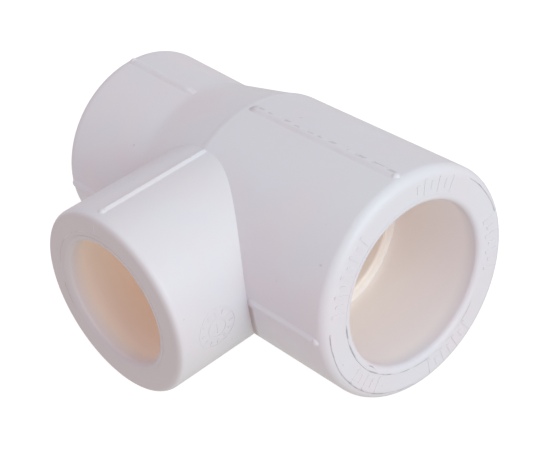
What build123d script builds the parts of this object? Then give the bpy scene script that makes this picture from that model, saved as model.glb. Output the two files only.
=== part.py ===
from build123d import *

import os
from dataclasses import dataclass
from math import atan2, cos, radians, sin, tan

# Reducing tee for socket welding, moulded in white polypropylene: 25 mm and 20 mm pipe on the run,
# 20 mm pipe on the branch.
#
# Frame: the origin is where the centre lines of the run and of the branch cross. +X runs out of the
# large socket, -Y runs out of the branch socket, and +Z is square to both. All sizes are millimetres.
#
# The real fitting is one moulding. Each node is a named region of that moulding, and neighbouring
# regions meet face to face, so together they hold exactly its material.


# ---- Driving dimensions ----

@dataclass
class Socket:
    """One socket end. Its plane has local x pointing out of the mouth along the centre line."""

    name: str
    plane: Plane
    face: float  # from the crossing of the centre lines to the end face
    outer_radius: float  # at the end face
    draft: float  # degrees; the barrel narrows towards the crossing
    edge_rounding: float  # between the barrel and the end face
    bore_radius: float
    depth: float  # how far the pipe goes in
    waterway_radius: float  # inside the pipe stop

    def outer_at(self, distance):
        """The barrel's radius, at a distance out from the crossing."""
        return self.outer_radius - (self.face - distance) * tan(radians(self.draft))

    @property
    def root(self):
        return self.face - self.depth

    @property
    def stop_back(self):
        return self.root - stop_length

    @property
    def stop_radius(self):
        return self.bore_radius + stop_seat

    @property
    def lip_radius(self):
        return self.bore_radius + lip_width

    @property
    def nub(self):
        return self.face - nub_from_face


# Each plane is turned 45 degrees about its centre line, so that no revolved seam lies under a rib.
large_plane = Plane(origin=(0, 0, 0), x_dir=(1, 0, 0), z_dir=(0, -1, 1))
small_plane = Plane(origin=(0, 0, 0), x_dir=(-1, 0, 0), z_dir=(0, 1, 1))
branch_plane = Plane(origin=(0, 0, 0), x_dir=(0, -1, 0), z_dir=(1, 0, 1))

large = Socket("large_run", large_plane, 29.5, 17.0, 1.0, 1.5, 12.0, 16.0, 10.4)
small = Socket("small_run", small_plane, 28.9, 14.1, 1.0, 2.0, 9.5, 14.5, 7.2)
branch = Socket("branch", branch_plane, 28.9, 14.15, 0.5, 1.1, 9.5, 14.5, 7.2)
sockets = (large, small, branch)

parting_x = -0.8  # the mould halves meet here, and the large barrel turns into the cone
cone_end_x = -13.0  # the cone turns into the small barrel
cone_blend_radius = 8.0
branch_start = 8.5  # the branch barrel begins inside the run's wall

reduction_start_x = -7.4  # inside, the large waterway narrows over this stretch
reduction_end_x = -10.6
stop_length = 3.0
stop_seat = 0.8  # the stop ring reaches this far into the wall round it
stop_rounding = 0.5  # of the edge that the pipe's end looks onto

lip_width = 1.0  # raised ring round each mouth
lip_depth = 1.0
lip_height = 0.06
lip_rounding = 0.8

run_rib = (1.6, 0.3, 0.3)  # width at the base, width at the crest, height
branch_rib = (2.2, 0.3, 0.42)
rib_rounding = 0.5
rib_embedding = 0.5  # how far its outline starts under the barrel's surface, before the barrel is cut away
small_rib_start = 10.5  # inside the cone, so that the rib dies into it
nub_from_face = 1.9
nub_radius = 0.62
nub_sinking = 0.22  # of its centre under the barrel's surface

bead_crown = 3.0  # the mould's parting line round the run: radius of its crown, and height
bead_height = 0.05

mark_height = 0.08
mark_width = 0.45
long_mark, short_mark = 2.3, 1.3
mark_ring_radius = 14.55
mark_step = 5.25  # degrees between marks of a group
mark_groups = ((145, 9), (69, 6), (-5, 7), (-71, 7), (-138, 5))  # middle, degrees from +Y to +Z; marks in it

clock_y, clock_z = -22.3, -1.2
clock_radius = 3.2
clock_line = 0.22
clock_height = 0.06
clock_ticks = 12


# ---- Outlines and shared cutting shapes ----

def bore_outline(socket):
    """The inside of a socket, from its end face in to the waterway, as (distance out, radius) points."""
    return [
        (socket.face, socket.lip_radius),
        (socket.face - lip_depth, socket.lip_radius),
        (socket.face - lip_depth, socket.bore_radius),
        (socket.root, socket.bore_radius),
        (socket.root, socket.stop_radius),
        (socket.stop_back, socket.stop_radius),
        (socket.stop_back, socket.waterway_radius),
    ]


def mirrored(points):
    return [(-x, radius) for x, radius in reversed(points)]


run_outside = [
    (-small.face, small.outer_radius),
    (cone_end_x, small.outer_at(-cone_end_x)),
    (parting_x, large.outer_at(parting_x)),
    (large.face, large.outer_radius),
]
run_roundings = (small.edge_rounding, cone_blend_radius, cone_blend_radius, large.edge_rounding)
run_inside = [
    *bore_outline(large),
    (reduction_start_x, large.waterway_radius),
    (reduction_end_x, small.waterway_radius),
    *mirrored(bore_outline(small)),
]


def round_corner(sketch, corner, radius):
    fillet(sketch.vertices().sort_by_distance(corner)[0], radius)


def run_section(inside):
    """The run's half section, between its outside and the given inner points."""
    with BuildSketch(large.plane) as section:
        with BuildLine():
            Polyline(*run_outside, *inside, close=True)
        make_face()
        for corner, radius in zip(run_outside, run_roundings):
            round_corner(section, corner, radius)
    return section.sketch


def run_wall_section(from_x, to_x):
    """The half section of the run's wall between two x."""
    with BuildSketch(large.plane) as section:
        add(run_section(run_inside))
        with Locations((from_x, 0)):
            Rectangle(
                to_x - from_x,
                2 * large.outer_radius,
                align=(Align.MIN, Align.MIN),
                mode=Mode.INTERSECT,
            )
    return section.sketch


def branch_section(inside):
    """The branch's half section, between its outside and the given inner points."""
    corner = (branch.face, branch.outer_radius)
    with BuildSketch(branch.plane) as section:
        with BuildLine():
            Polyline((branch_start, branch.outer_at(branch_start)), corner, *inside, close=True)
        make_face()
        round_corner(section, corner, branch.edge_rounding)
    return section.sketch


with BuildPart() as run_envelope:
    add(run_section([(large.face, 0), (-small.face, 0)]))
    revolve(axis=Axis.X)

with BuildPart() as branch_envelope:
    add(branch_section([(branch.face, 0), (branch_start, 0)]))
    revolve(axis=Axis.Y)

with BuildPart() as run_hollow:
    with BuildSketch(large.plane):
        with BuildLine():
            Polyline(*run_inside, (-small.face, 0), (large.face, 0), close=True)
        make_face()
    revolve(axis=Axis.X)

with BuildPart() as branch_passage:
    add(branch_envelope.part)
    with BuildSketch(Plane.XZ):
        Circle(branch.waterway_radius)
    extrude(amount=branch.stop_back)


def finish(piece, name):
    piece.part.label = name
    export_step(piece.part, f"parts/{name}.step")


os.makedirs("parts", exist_ok=True)


# ---- Walls of the run and of the branch ----

with BuildPart() as large_run_barrel:
    add(run_wall_section(parting_x, large.face))
    revolve(axis=Axis.X)
    add(branch_passage.part, mode=Mode.SUBTRACT)
finish(large_run_barrel, "large_run_barrel")

with BuildPart() as reducing_cone:
    add(run_wall_section(cone_end_x, parting_x))
    revolve(axis=Axis.X)
    add(branch_passage.part, mode=Mode.SUBTRACT)
finish(reducing_cone, "reducing_cone")

with BuildPart() as small_run_barrel:
    add(run_wall_section(-small.face, cone_end_x))
    revolve(axis=Axis.X)
    add(branch_passage.part, mode=Mode.SUBTRACT)
finish(small_run_barrel, "small_run_barrel")

with BuildPart() as branch_barrel:
    add(branch_section(bore_outline(branch) + [(branch_start, branch.waterway_radius)]))
    revolve(axis=Axis.Y)
    add(run_hollow.part, mode=Mode.SUBTRACT)
finish(branch_barrel, "branch_barrel")


# ---- Pipe stops and mouth lips, one of each in every socket ----

def centre_line(socket):
    return Axis((0, 0, 0), socket.plane.x_dir)


for socket in sockets:
    with BuildPart() as pipe_stop:
        with BuildSketch(socket.plane) as stop_section:
            with Locations((socket.stop_back, socket.waterway_radius)):
                Rectangle(
                    stop_length,
                    socket.stop_radius - socket.waterway_radius,
                    align=(Align.MIN, Align.MIN),
                )
            round_corner(stop_section, (socket.root, socket.waterway_radius), stop_rounding)
        revolve(axis=centre_line(socket))
    finish(pipe_stop, f"{socket.name}_pipe_stop")

for socket in sockets:
    lip_back, lip_front = socket.face - lip_depth, socket.face + lip_height
    with BuildPart() as mouth_lip:
        with BuildSketch(socket.plane) as lip_section:
            with BuildLine():
                Polyline(
                    (lip_back, socket.bore_radius),
                    (lip_front, socket.bore_radius),
                    (lip_front, socket.lip_radius),
                    (lip_back, socket.lip_radius),
                    close=True,
                )
            make_face()
            round_corner(lip_section, (lip_front, socket.bore_radius), lip_rounding)
        revolve(axis=centre_line(socket))
    finish(mouth_lip, f"{socket.name}_mouth_lip")


# ---- The mould's parting line, a low crowned bead round the run ----

cone_slope = atan2(large.outer_at(parting_x) - small.outer_at(-cone_end_x), parting_x - cone_end_x)
crease_turn = cone_slope - radians(large.draft)
crease_radius = large.outer_at(parting_x) - cone_blend_radius * (1 / cos(crease_turn / 2) - 1)

with BuildPart() as parting_bead:
    with BuildSketch(large.plane):
        with Locations((parting_x, crease_radius + bead_height - bead_crown)):
            Circle(bead_crown)
    revolve(axis=Axis.X)
    add(run_envelope.part, mode=Mode.SUBTRACT)
    add(branch_envelope.part, mode=Mode.SUBTRACT)
finish(parting_bead, "parting_bead")


# ---- Ribs along the barrels, each ending in a round nub near the end face ----

def rib_blank(socket, up, start, middle_x, base, crest, height):
    """A rib standing out of a barrel in the direction up, before the barrel is cut away from it."""
    draft = radians(socket.draft)
    out = socket.plane.x_dir
    along = out * cos(draft) + up * sin(draft)
    middle = Vector(middle_x, 0, 0)
    start_point = middle + out * start + up * socket.outer_at(start)
    nub_point = middle + out * socket.nub + up * socket.outer_at(socket.nub)
    with BuildPart() as blank:
        with BuildSketch(Plane(start_point, x_dir=up.cross(out), z_dir=along)) as section:
            with BuildLine():
                Polyline(
                    (-base / 2, -rib_embedding),
                    (-base / 2, 0),
                    (-crest / 2, height),
                    (crest / 2, height),
                    (base / 2, 0),
                    (base / 2, -rib_embedding),
                    close=True,
                )
            make_face()
            fillet(section.vertices().group_by(Axis.Y)[-1], rib_rounding)
        extrude(amount=(socket.nub - start) / cos(draft))
        with Locations(nub_point - up * nub_sinking):
            Sphere(nub_radius)
    return blank.part


rib_sides = {
    "top": Vector(0, 0, 1),
    "back": Vector(0, 1, 0),
    "bottom": Vector(0, 0, -1),
    "front": Vector(0, -1, 0),
}

for socket, start in ((large, parting_x), (small, small_rib_start)):
    for side, up in rib_sides.items():
        with BuildPart() as barrel_rib:
            add(rib_blank(socket, up, start, 0, *run_rib))
            add(run_envelope.part, mode=Mode.SUBTRACT)
            add(branch_envelope.part, mode=Mode.SUBTRACT)
            add(parting_bead.part, mode=Mode.SUBTRACT)
        finish(barrel_rib, f"{socket.name}_rib_{side}")

for side in ("top", "bottom"):
    with BuildPart() as parting_rib:
        add(rib_blank(branch, rib_sides[side], branch_start, parting_x, *branch_rib))
        add(branch_envelope.part, mode=Mode.SUBTRACT)
        add(run_envelope.part, mode=Mode.SUBTRACT)
        add(parting_bead.part, mode=Mode.SUBTRACT)
    finish(parting_rib, f"branch_rib_{side}")


# ---- Raised marks on the large end face, and the date mark on the branch ----

with BuildPart() as end_face_marks:
    with BuildSketch(Plane.YZ.offset(large.face)):
        for group_middle, count in mark_groups:
            for index in range(count):
                angle = group_middle + (index - (count - 1) / 2) * mark_step
                length = long_mark if index % 2 == 0 else short_mark
                with PolarLocations(mark_ring_radius, 1, start_angle=angle):
                    Rectangle(length, mark_width)
    extrude(amount=mark_height)
finish(end_face_marks, "end_face_marks")

with BuildPart() as date_clock:
    with BuildSketch(Plane.YZ.offset(branch_start)):
        with Locations((clock_y, clock_z)):
            for ring_radius in (clock_radius, clock_radius / 2):
                Circle(ring_radius)
                Circle(ring_radius - clock_line, mode=Mode.SUBTRACT)
            with PolarLocations(0.76 * clock_radius, clock_ticks):
                Rectangle(0.2 * clock_radius, clock_line)
            Rectangle(clock_line, 0.5 * clock_radius)
    extrude(amount=branch.outer_radius)
    with Locations(Location((0, 0, 0), (90, 0, 0))):
        Cylinder(
            branch.outer_at(-clock_y) + clock_height,
            2 * branch.face,
            mode=Mode.INTERSECT,
        )
    add(branch_envelope.part, mode=Mode.SUBTRACT)
finish(date_clock, "date_clock")
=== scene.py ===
import math

import bmesh
import bpy
from mathutils import Matrix, Vector, noise
from mathutils.bvhtree import BVHTree


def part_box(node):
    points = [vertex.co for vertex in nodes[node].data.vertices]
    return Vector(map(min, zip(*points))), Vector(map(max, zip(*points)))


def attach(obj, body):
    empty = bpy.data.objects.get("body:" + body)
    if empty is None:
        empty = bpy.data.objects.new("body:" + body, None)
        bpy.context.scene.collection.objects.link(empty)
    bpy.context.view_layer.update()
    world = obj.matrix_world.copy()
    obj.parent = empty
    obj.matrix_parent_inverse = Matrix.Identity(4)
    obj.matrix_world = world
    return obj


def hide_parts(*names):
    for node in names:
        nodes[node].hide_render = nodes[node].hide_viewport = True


# A white polypropylene reducing tee. Everything is in metres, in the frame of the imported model:
# +X runs out of the large socket, -X out of the small one and -Y out of the branch socket.

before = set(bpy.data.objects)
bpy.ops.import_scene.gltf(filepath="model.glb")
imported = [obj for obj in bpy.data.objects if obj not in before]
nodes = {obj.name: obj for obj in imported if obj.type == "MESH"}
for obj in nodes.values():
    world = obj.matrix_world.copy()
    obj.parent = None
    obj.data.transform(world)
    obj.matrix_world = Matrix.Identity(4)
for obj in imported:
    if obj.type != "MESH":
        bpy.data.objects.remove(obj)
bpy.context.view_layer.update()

MM = 0.001


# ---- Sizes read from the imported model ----

class Socket:
    """One socket end: which way it points, where its face is, and its radii."""

    def __init__(self, name, prefix, out, bore_radius):
        barrel, lip, stop = (f"{prefix}_{part}" for part in ("barrel", "mouth_lip", "pipe_stop"))
        self.name = name
        self.out = Vector(out)
        self.across = Vector([1 - abs(part) for part in out])  # 1 in each direction square to out
        self.across_axis = Vector((abs(out[1]), abs(out[0]), 0))  # the level direction across the end face
        self.face = self.furthest(barrel)
        self.root = self.furthest(stop)
        self.outer_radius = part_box(barrel)[1][2]
        self.lip_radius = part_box(lip)[1][2]
        self.bore_radius = bore_radius

    def furthest(self, node):
        low, high = (Vector(corner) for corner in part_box(node))
        return max(low.dot(self.out), high.dot(self.out))


large = Socket("large", "large_run", (1, 0, 0), bore_radius=12.0 * MM)
small = Socket("small", "small_run", (-1, 0, 0), bore_radius=9.5 * MM)
branch = Socket("branch", "branch", (0, -1, 0), bore_radius=9.5 * MM)


# ---- Camera ----

def camera_at(azimuth, elevation, roll, distance, focal_length, shift):
    """A camera that looks at the crossing of the centre lines. Azimuth 0 looks along +Y."""
    azimuth, elevation, roll = (math.radians(angle) for angle in (azimuth, elevation, roll))
    back = Vector((
        math.sin(azimuth) * math.cos(elevation),
        -math.cos(azimuth) * math.cos(elevation),
        math.sin(elevation),
    ))
    level = Vector((math.cos(azimuth), math.sin(azimuth), 0))
    upright = back.cross(level)
    right = level * math.cos(roll) + upright * math.sin(roll)
    up = upright * math.cos(roll) - level * math.sin(roll)
    data = bpy.data.cameras.new("camera")
    data.sensor_width = 36.0
    data.lens = focal_length
    data.shift_x, data.shift_y = shift
    data.clip_start = 0.01
    camera = bpy.data.objects.new("camera", data)
    place = Matrix((right, up, back)).transposed().to_4x4()
    place.translation = back * distance
    camera.matrix_world = place
    bpy.context.collection.objects.link(camera)
    bpy.context.scene.camera = camera


camera_at(
    azimuth=52.5, elevation=35.06, roll=-8.51, distance=0.3074, focal_length=141.5, shift=(0.0115, -0.0360)
)


# ---- White plastic ----

LILAC = (0.750, 0.726, 0.780)
PINK = (0.770, 0.714, 0.760)
SPECK = (0.50, 0.42, 0.40)
SCUFF = (0.50, 0.45, 0.47)
# The grey of the flash lines is painted shade.
FLASH_SHADE = (0.50, 0.49, 0.51)

# Shade that is painted, so it stays the same when the light changes.
RIB_SIDE_SHADE = (0.735, 0.672, 0.718)
CREASE_SHADE = (0.36, 0.22, 0.18)
BRANCH_FACE_SHADE = (0.665, 0.605, 0.625)
BORE_LIGHT_COLOURS = {  # painted light near the mouth, and at the pipe stop
    "large": ((0.82, 0.785, 0.80), (0.86, 0.80, 0.775)),
    "small": ((0.88, 0.79, 0.73), (0.98, 0.80, 0.66)),
    "branch": ((0.88, 0.795, 0.745), (0.97, 0.81, 0.68)),
}
WATERWAY_LIGHT = (0.85, 0.76, 0.70)  # painted light inside the pipe stop
BORE_GLOW = {  # stands in for daylight that comes through the wall of each bore
    "large": (0.062, 0.050, 0.045),
    "small": (0.050, 0.036, 0.020),
    "branch": (0.050, 0.036, 0.020),
}


PLASTIC_IOR = 1.49


class Shading:
    """Small helpers that build one material's node tree."""

    def __init__(self, name):
        self.material = bpy.data.materials.new(name)
        self.material.use_nodes = True
        self.tree = self.material.node_tree
        self.shader = self.tree.nodes["Principled BSDF"]
        self.place = self.tree.nodes.new("ShaderNodeTexCoord").outputs["Object"]

    def node(self, kind, settings=None, **inputs):
        """A new node. An input is given by its name, or as i0, i1 and so on by its number."""
        node = self.tree.nodes.new(kind)
        for key, value in (settings or {}).items():
            setattr(node, key, value)
        for key, value in inputs.items():
            numbered = key[0] == "i" and key[1:].isdigit()
            socket = node.inputs[int(key[1:]) if numbered else key.replace("_", " ")]
            if isinstance(value, bpy.types.NodeSocket):
                self.tree.links.new(value, socket)
            else:
                socket.default_value = value
        return node

    def maths(self, operation, a, b=0.0):
        return self.node("ShaderNodeMath", {"operation": operation}, i0=a, i1=b).outputs[0]

    def dot(self, vector):
        return self.node(
            "ShaderNodeVectorMath", {"operation": "DOT_PRODUCT"}, i0=self.place, i1=tuple(vector)
        ).outputs["Value"]

    def distance_from(self, centre, weights=(1, 1, 1)):
        """How far the surface is from a point, counting only the directions with weight 1."""
        offset = self.node(
            "ShaderNodeVectorMath", {"operation": "SUBTRACT"}, i0=self.place, i1=tuple(centre)
        )
        kept = self.node(
            "ShaderNodeVectorMath", {"operation": "MULTIPLY"}, i0=offset.outputs[0], i1=tuple(weights)
        )
        length = self.node("ShaderNodeVectorMath", {"operation": "LENGTH"}, i0=kept.outputs[0])
        return length.outputs["Value"]

    def ramp(self, value, low, high, to_low=0.0, to_high=1.0):
        """A smooth step from to_low where value is low to to_high where it is high."""
        return self.node(
            "ShaderNodeMapRange",
            {"interpolation_type": "SMOOTHSTEP"},
            Value=value, From_Min=low, From_Max=high, To_Min=to_low, To_Max=to_high,
        ).outputs["Result"]

    def noise(self, size, detail=2.0, roughness=0.5):
        """Noise whose features are about the given size across."""
        return self.node(
            "ShaderNodeTexNoise", Vector=self.place, Scale=1 / size, Detail=detail, Roughness=roughness
        ).outputs["Fac"]

    def mix(self, factor, a, b):
        values = [tuple(value) + (1,) if isinstance(value, tuple) else value for value in (a, b)]
        mixer = self.node("ShaderNodeMix", {"data_type": "RGBA"}, i0=factor, i6=values[0], i7=values[1])
        return mixer.outputs[2]

    def finish(self, colour):
        """The material, with this colour and the moulding's slightly uneven gloss and surface."""
        tree, shader = self.tree, self.shader
        roughness = self.ramp(self.noise(2.5 * MM), 0.3, 0.7, 0.40, 0.50)
        bump = self.node(
            "ShaderNodeBump", Strength=0.25, Distance=0.03 * MM, Height=self.noise(0.9 * MM, 3.0)
        )
        tree.links.new(colour, shader.inputs["Base Color"])
        tree.links.new(roughness, shader.inputs["Roughness"])
        tree.links.new(bump.outputs["Normal"], shader.inputs["Normal"])
        shader.inputs["IOR"].default_value = PLASTIC_IOR
        return self.material


def outer_colour(shading):
    """White with faint lilac and pink patches, and a few tiny dark specks of dust."""
    patches = shading.ramp(shading.noise(11 * MM, 3.0), 0.35, 0.65)
    colour = shading.mix(patches, LILAC, PINK)
    specks = shading.ramp(shading.noise(0.7 * MM, 0.0), 0.86, 0.89, 0.0, 0.35)
    return shading.mix(specks, colour, SPECK)


def wall_plastic(socket):
    """The plastic of one socket's wall, warmer inside the bore, where light comes through the wall."""
    shading = Shading(f"{socket.name}_wall_plastic")
    mouth_light, root_light = BORE_LIGHT_COLOURS[socket.name]
    along = shading.dot(socket.out)
    depth = shading.ramp(along, socket.face - 1.0 * MM, socket.root)
    radius = shading.distance_from((0, 0, 0), socket.across)
    narrow = shading.ramp(radius, socket.bore_radius - 0.4 * MM, socket.bore_radius - 1.1 * MM)
    painted_bore_light = shading.mix(narrow, shading.mix(depth, mouth_light, root_light), WATERWAY_LIGHT)
    within = shading.ramp(radius, socket.lip_radius + 0.3 * MM, socket.lip_radius + 0.1 * MM)
    sunk = shading.ramp(along, socket.face - 0.2 * MM, socket.face - 3.0 * MM)
    inside = shading.maths("MULTIPLY", within, sunk)
    glow = shading.mix(inside, (0.0, 0.0, 0.0), BORE_GLOW[socket.name])
    shading.tree.links.new(glow, shading.shader.inputs["Emission Color"])
    shading.shader.inputs["Emission Strength"].default_value = 1.0
    outside = outer_colour(shading)
    if socket is branch:
        # Painted shade: the branch's end face is darker and warmer.
        face = shading.ramp(along, socket.face - 0.6 * MM, socket.face - 0.1 * MM)
        outside = shading.mix(face, outside, BRANCH_FACE_SHADE)
    if socket is large:
        # Painted shade in the crease where the branch leaves the large barrel.
        outside = shading.mix(branch_crease_shade(shading), outside, CREASE_SHADE)
    return shading.finish(shading.mix(inside, outside, painted_bore_light))


def branch_crease_shade(shading):
    """Where painted shade goes: 1 in the narrow crease under the front rib, where the branch leaves the
    large barrel.
    """
    beside = shading.distance_from((0, 0, 0), branch.across)
    near = shading.ramp(beside, branch.outer_radius + 1.1 * MM, branch.outer_radius + 0.3 * MM, 0.0, 0.6)
    front = shading.ramp(shading.dot(branch.out), 8 * MM, 10 * MM)
    large_side = shading.ramp(shading.dot(large.out), 9.5 * MM, 11.5 * MM)
    under_rib = shading.ramp(shading.dot((0, 0, -1)), 0.4 * MM, 1.2 * MM)
    place = shading.maths("MULTIPLY", front, large_side)
    return shading.maths("MULTIPLY", near, shading.maths("MULTIPLY", place, under_rib))


def rib_plastic():
    """The plastic of the ribs, marks and parting bead."""
    shading = Shading("rib_plastic")
    return shading.finish(outer_colour(shading))


def scuff_strength(shading, across):
    """A broken row of dark scuffs left by the mould, with one at the start of the rib."""
    scuffs = shading.ramp(shading.noise(1.1 * MM, 2.0), 0.52, 0.60, 0.0, 0.6)
    far_side = shading.ramp(across, -0.05 * MM, 0.2 * MM)
    row = shading.maths("MULTIPLY", scuffs, far_side)
    rib_start = shading.ramp(shading.dot(large.out), 1.0 * MM, -0.2 * MM, 0.0, 0.5)
    return shading.maths("MAXIMUM", row, rib_start)


def top_rib_plastic(name, scuffed):
    """The plastic of a top rib, with painted pink shade along its front side."""
    shading = Shading(name)
    across = shading.dot((0, 1, 0))
    # Painted shade along the rib's front side.
    front_side_shade = shading.ramp(across, 0.0, -0.45 * MM)
    uneven = shading.ramp(shading.noise(4 * MM), 0.35, 0.65, 0.35, 1.0)
    strength = shading.maths("MULTIPLY", front_side_shade, uneven)
    colour = shading.mix(strength, outer_colour(shading), RIB_SIDE_SHADE)
    if scuffed:
        colour = shading.mix(scuff_strength(shading, across), colour, SCUFF)
    return shading.finish(colour)


def flash_shade_plastic():
    """The plastic of the thin flash lines on the end faces, grey with painted shade that noise breaks into
    patches.
    """
    shading = Shading("flash_shade_plastic")
    # Painted shade: noise breaks the grey into patches of the plain plastic.
    dust = shading.ramp(shading.noise(2.0 * MM, 2.0), 0.4, 0.6)
    return shading.finish(shading.mix(dust, FLASH_SHADE, LILAC))


wall_materials = {socket.name: wall_plastic(socket) for socket in (large, small, branch)}
plain_rib = rib_plastic()
top_rib = top_rib_plastic("plain_top_rib_plastic", scuffed=False)
scuffed_rib = top_rib_plastic("scuffed_rib_plastic", scuffed=True)
flash = flash_shade_plastic()


def node_material(name):
    if name == "large_run_rib_top":
        return scuffed_rib
    if name == "small_run_rib_top":
        return top_rib
    if "_rib_" in name or name in ("parting_bead", "end_face_marks", "date_clock"):
        return plain_rib
    for socket in (large, small, branch):
        if name.startswith(socket.name):
            return wall_materials[socket.name]
    return wall_materials["large"]


for name, node in nodes.items():
    node.data.materials.clear()
    node.data.materials.append(node_material(name))


# ---- Helpers for the Blender pieces ----

def piece_from_grid(name, rows, material):
    """A closed strip whose cross-sections are rows of points, joined in order, with its ends filled."""
    count = len(rows[0])
    points = [point for row in rows for point in row]
    faces = []
    for row in range(len(rows) - 1):
        this, after = row * count, (row + 1) * count
        for column in range(count):
            beside = (column + 1) % count
            faces.append((this + column, this + beside, after + beside, after + column))
    faces.append(tuple(reversed(range(count))))
    faces.append(tuple(range(len(points) - count, len(points))))
    mesh = bpy.data.meshes.new(name)
    mesh.from_pydata(points, [], faces)
    mesh.update()
    cleaner = bmesh.new()
    cleaner.from_mesh(mesh)
    bmesh.ops.recalc_face_normals(cleaner, faces=cleaner.faces)
    cleaner.to_mesh(mesh)
    cleaner.free()
    mesh.shade_smooth()
    mesh.materials.append(material)
    piece = bpy.data.objects.new(name, mesh)
    bpy.context.collection.objects.link(piece)
    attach(piece, "root")
    return piece


# ---- Ribs: soft ridges that swell out of the barrels, each with a round nub at its end ----

NUB_RADIUS = 0.66 * MM
NUB_SINKING = 0.26 * MM
NUB_ROWS = 18
NUB_ROWS_PER_RADIUS = 8
NUB_LEAD = 1.15  # how many nub radii before its centre the close rows start
RIB_START_GAP = 0.1 * MM  # between the barrel's own start and the rib's
RIB_END_GROWTH = 0.1 * MM  # past the end of the CAD rib
RIB_SINKING = 0.01 * MM  # hides a rib's thin outer edges in the barrel
RIB_FOOT = 0.12 * MM  # how far a rib reaches under the barrel's surface
RIB_ROW_STEP = 0.4 * MM
RIB_COLUMNS = 20
RAY_START = 30 * MM  # outside every barrel

RIB_SIDES = {
    "top": Vector((0, 0, 1)),
    "back": Vector((0, 1, 0)),
    "bottom": Vector((0, 0, -1)),
    "front": Vector((0, -1, 0)),
}


def surface_of(node):
    mesh = nodes[node].data
    return BVHTree.FromPolygons([v.co for v in mesh.vertices], [p.vertices for p in mesh.polygons])


def soft_step(value, low, high):
    t = min(max((value - low) / (high - low), 0.0), 1.0)
    return t * t * (3 - 2 * t)


def make_rib(node, barrel, socket, up, half_width, height, fade):
    """A ridge on a barrel in place of its CAD rib, which fades in over a length and ends in a nub."""
    low, high = (Vector(corner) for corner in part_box(node))
    barrel_start = min(Vector(corner).dot(socket.out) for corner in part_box(barrel))
    start = max(min(low.dot(socket.out), high.dot(socket.out)), barrel_start + RIB_START_GAP)
    end = max(low.dot(socket.out), high.dot(socket.out)) + RIB_END_GROWTH
    nub_place = end - NUB_RADIUS
    nub_start = nub_place - NUB_RADIUS
    side = up.cross(socket.out)
    middle = side * ((low + high) / 2).dot(side)
    skin = surface_of(barrel)

    def height_at(along, across):
        ridge = height * (0.5 + 0.5 * math.cos(math.pi * across / half_width))
        ridge *= soft_step(along, start, start + fade) * soft_step(along, end, nub_start)
        cap = NUB_RADIUS ** 2 - (along - nub_place) ** 2 - across ** 2
        nub = math.sqrt(cap) - NUB_SINKING if cap > 0 else 0.0
        return max(ridge, nub, 0.0)

    def place(along, across, lift):
        above = middle + socket.out * along + side * across
        hit = skin.ray_cast(above + up * RAY_START, -up)[0]
        return None if hit is None else hit + up * lift

    stops = [start + index * RIB_ROW_STEP for index in range(int((nub_start - start) / RIB_ROW_STEP))]
    stops += [nub_place + NUB_RADIUS * (index / NUB_ROWS_PER_RADIUS - NUB_LEAD) for index in range(NUB_ROWS)]
    across_steps = [half_width * (2 * index / RIB_COLUMNS - 1) for index in range(RIB_COLUMNS + 1)]
    rows = []
    for along in stops:
        top_row = [place(along, across, height_at(along, across) - RIB_SINKING) for across in across_steps]
        bottom_row = [place(along, across, -RIB_FOOT) for across in (half_width, -half_width)]
        if None not in top_row and None not in bottom_row:
            rows.append(top_row + bottom_row)
    piece = piece_from_grid(f"soft_{node}", rows, node_material(node))
    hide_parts(node)


for side_name, up in RIB_SIDES.items():
    make_rib(
        f"large_run_rib_{side_name}", "large_run_barrel", large, up,
        half_width=0.85 * MM, height=0.32 * MM, fade=1.0 * MM,
    )
    make_rib(
        f"small_run_rib_{side_name}", "small_run_barrel", small, up,
        half_width=0.80 * MM, height=0.34 * MM, fade=2.0 * MM,
    )
for side_name in ("top", "bottom"):
    make_rib(
        f"branch_rib_{side_name}", "branch_barrel", branch, RIB_SIDES[side_name],
        half_width=0.65 * MM, height=0.38 * MM, fade=0.05 * MM,
    )


# ---- Thin flash lines left by the mould on the end faces ----

LINE_SINKING = 0.03 * MM  # how far a line's edges lie under the end face
LINE_END_POINTS = 6  # over which each end of a line dies away
ARC_STEP = 2.0  # degrees between points of an arc


def face_line(name, socket, points, width, height, seed, material=flash):
    """A low ridge of uneven height along points on an end face, given as (y or x, z) in metres."""
    def place(across, z, lift):
        level = socket.out * (socket.face + lift)
        return level + socket.across_axis * across + Vector((0, 0, z))

    rows = []
    last = len(points) - 1
    for index, (across, z) in enumerate(points):
        before, after = Vector(points[max(index - 1, 0)]), Vector(points[min(index + 1, last)])
        half_step = (after - before).normalized() * width / 2
        rough = 0.5 + 0.5 * noise.noise(Vector((index * 0.35, seed, 0)))
        ends = min(index, last - index, LINE_END_POINTS) / LINE_END_POINTS
        rows.append([
            place(across - half_step.y, z + half_step.x, -LINE_SINKING),
            place(across, z, height * (0.35 + 0.65 * rough) * ends),
            place(across + half_step.y, z - half_step.x, -LINE_SINKING),
        ])
    return piece_from_grid(name, rows, material)


def arc_line(name, socket, radius, degrees, wander, width, height, seed):
    """A flash line along an arc from one angle to another, whose radius wanders a little."""
    start, end = degrees
    points = []
    for index in range(int((end - start) / ARC_STEP) + 1):
        angle = math.radians(start + index * ARC_STEP)
        reach = radius + wander * noise.noise(Vector((index * 0.2, seed, 5)))
        points.append((reach * math.cos(angle), reach * math.sin(angle)))
    return face_line(name, socket, points, width, height, seed)


def branch_parting_line():
    """The mould's parting line across the branch face, beside the top rib."""
    points = []
    for step in range(10):
        wander = 0.05 * MM * noise.noise(Vector((step, 7, 0)))
        points.append((wander - 0.8 * MM, (13.1 - 0.2 * step) * MM))
    return face_line("branch_parting_line", branch, points, 0.24 * MM, 0.14 * MM, 6, plain_rib)


RIM_LINE_RADIUS = 15.9 * MM

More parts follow.
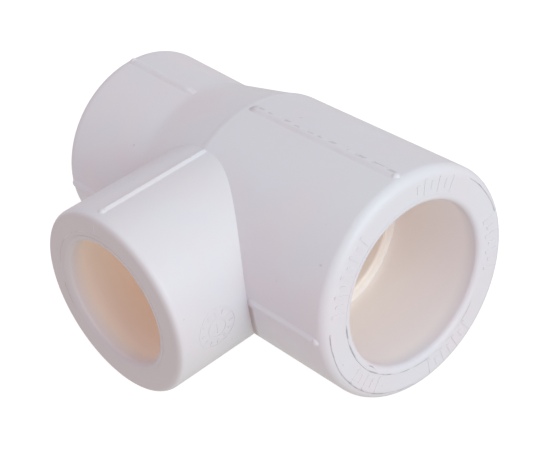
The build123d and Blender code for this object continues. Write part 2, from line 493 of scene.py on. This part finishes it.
arc_line(
    "large_mouth_flash", large, large.lip_radius, (165, 325),
    wander=0.08 * MM, width=0.34 * MM, height=0.17 * MM, seed=1,
)
arc_line(
    "large_mouth_nick", large, large.lip_radius - 0.35 * MM, (205, 238),
    wander=0.5 * MM, width=0.16 * MM, height=0.09 * MM, seed=2,
)
arc_line(
    "large_rim_line_low", large, RIM_LINE_RADIUS, (175, 262),
    wander=0.05 * MM, width=0.12 * MM, height=0.02 * MM, seed=3,
)
arc_line(
    "large_rim_line_high", large, RIM_LINE_RADIUS, (12, 44),
    wander=0.05 * MM, width=0.12 * MM, height=0.02 * MM, seed=4,
)
arc_line(
    "branch_mouth_flash", branch, 11.15 * MM, (85, 215),
    wander=0.05 * MM, width=0.14 * MM, height=0.05 * MM, seed=5,
)
branch_parting_line()


# ---- Soft studio light ----

ABOVE = (0.565, 0.43, 0.505)  # dim and faintly pink
BELOW = (0.70, 0.70, 0.65)  # light thrown up by the pale floor
HORIZON = (0.95, 0.95, 0.95)


def soft_surround():
    """A world that is nearly white at the horizon, and dimmer above and below it."""
    world = bpy.data.worlds.new("surround")
    world.use_nodes = True
    tree = world.node_tree
    direction = tree.nodes.new("ShaderNodeTexCoord").outputs["Generated"]
    height = tree.nodes.new("ShaderNodeSeparateXYZ")
    tree.links.new(direction, height.inputs[0])
    ramp = tree.nodes.new("ShaderNodeValToRGB")
    stretch = tree.nodes.new("ShaderNodeMapRange")
    stretch.inputs["From Min"].default_value = -1.0
    tree.links.new(height.outputs["Z"], stretch.inputs["Value"])
    tree.links.new(stretch.outputs["Result"], ramp.inputs["Fac"])
    steps = ramp.color_ramp.elements
    steps[0].position, steps[0].color = 0.44, (*BELOW, 1)
    steps[1].position, steps[1].color = 0.62, (*ABOVE, 1)
    for place in (0.47, 0.55):
        step = steps.new(place)
        step.color = (*HORIZON, 1)
    tree.links.new(ramp.outputs["Color"], tree.nodes["Background"].inputs["Color"])
    bpy.context.scene.world = world


soft_surround()


LAMP_DISTANCE = 0.65
LAMP_SIZE = 0.45


def area_light(name, direction, watts, colour):
    """A round soft light that shines on the crossing of the centre lines from one direction."""
    towards = Vector(direction).normalized()
    data = bpy.data.lights.new(name, "AREA")
    data.shape = "DISK"
    data.size = LAMP_SIZE
    data.energy = watts
    data.color = colour
    light = bpy.data.objects.new(name, data)
    light.location = towards * LAMP_DISTANCE
    light.rotation_euler = towards.to_track_quat("Z", "Y").to_euler()
    bpy.context.collection.objects.link(light)


area_light("key", (0.85, 0.0, 0.53), 2.0, (0.79, 1.0, 0.98))
area_light("top", (0.0, 0.0, 1.0), 0.8, (0.4, 1.0, 0.66))


# ---- Pale floor, through the three lowest nubs that the tee rests on ----

def lowest_point(node):
    mesh = nodes[node].data
    return min((vertex.co for vertex in mesh.vertices), key=lambda place: place.z).copy()


def pale_floor(size):
    feet = [lowest_point(f"{end}_rib_bottom") for end in ("large_run", "small_run", "branch")]
    normal = (feet[1] - feet[0]).cross(feet[2] - feet[0]).normalized()
    if normal.z < 0:
        normal.negate()
    bpy.ops.mesh.primitive_plane_add(size=size)
    floor = bpy.context.object
    floor.name = "floor"
    floor.location = feet[0] - normal * 0.02 * MM
    floor.rotation_euler = normal.to_track_quat("Z", "Y").to_euler()
    material = bpy.data.materials.new("pale_floor")
    material.use_nodes = True
    shader = material.node_tree.nodes["Principled BSDF"]
    shader.inputs["Base Color"].default_value = (0.3, 0.3, 0.3, 1)
    shader.inputs["Roughness"].default_value = 0.9
    shader.inputs["Emission Color"].default_value = (1, 1, 1, 1)
    shader.inputs["Emission Strength"].default_value = 0.85
    floor.data.materials.append(material)
    floor.visible_diffuse = False
    floor.visible_glossy = False


pale_floor(4.0)
bpy.context.scene.view_settings.view_transform = "Standard"
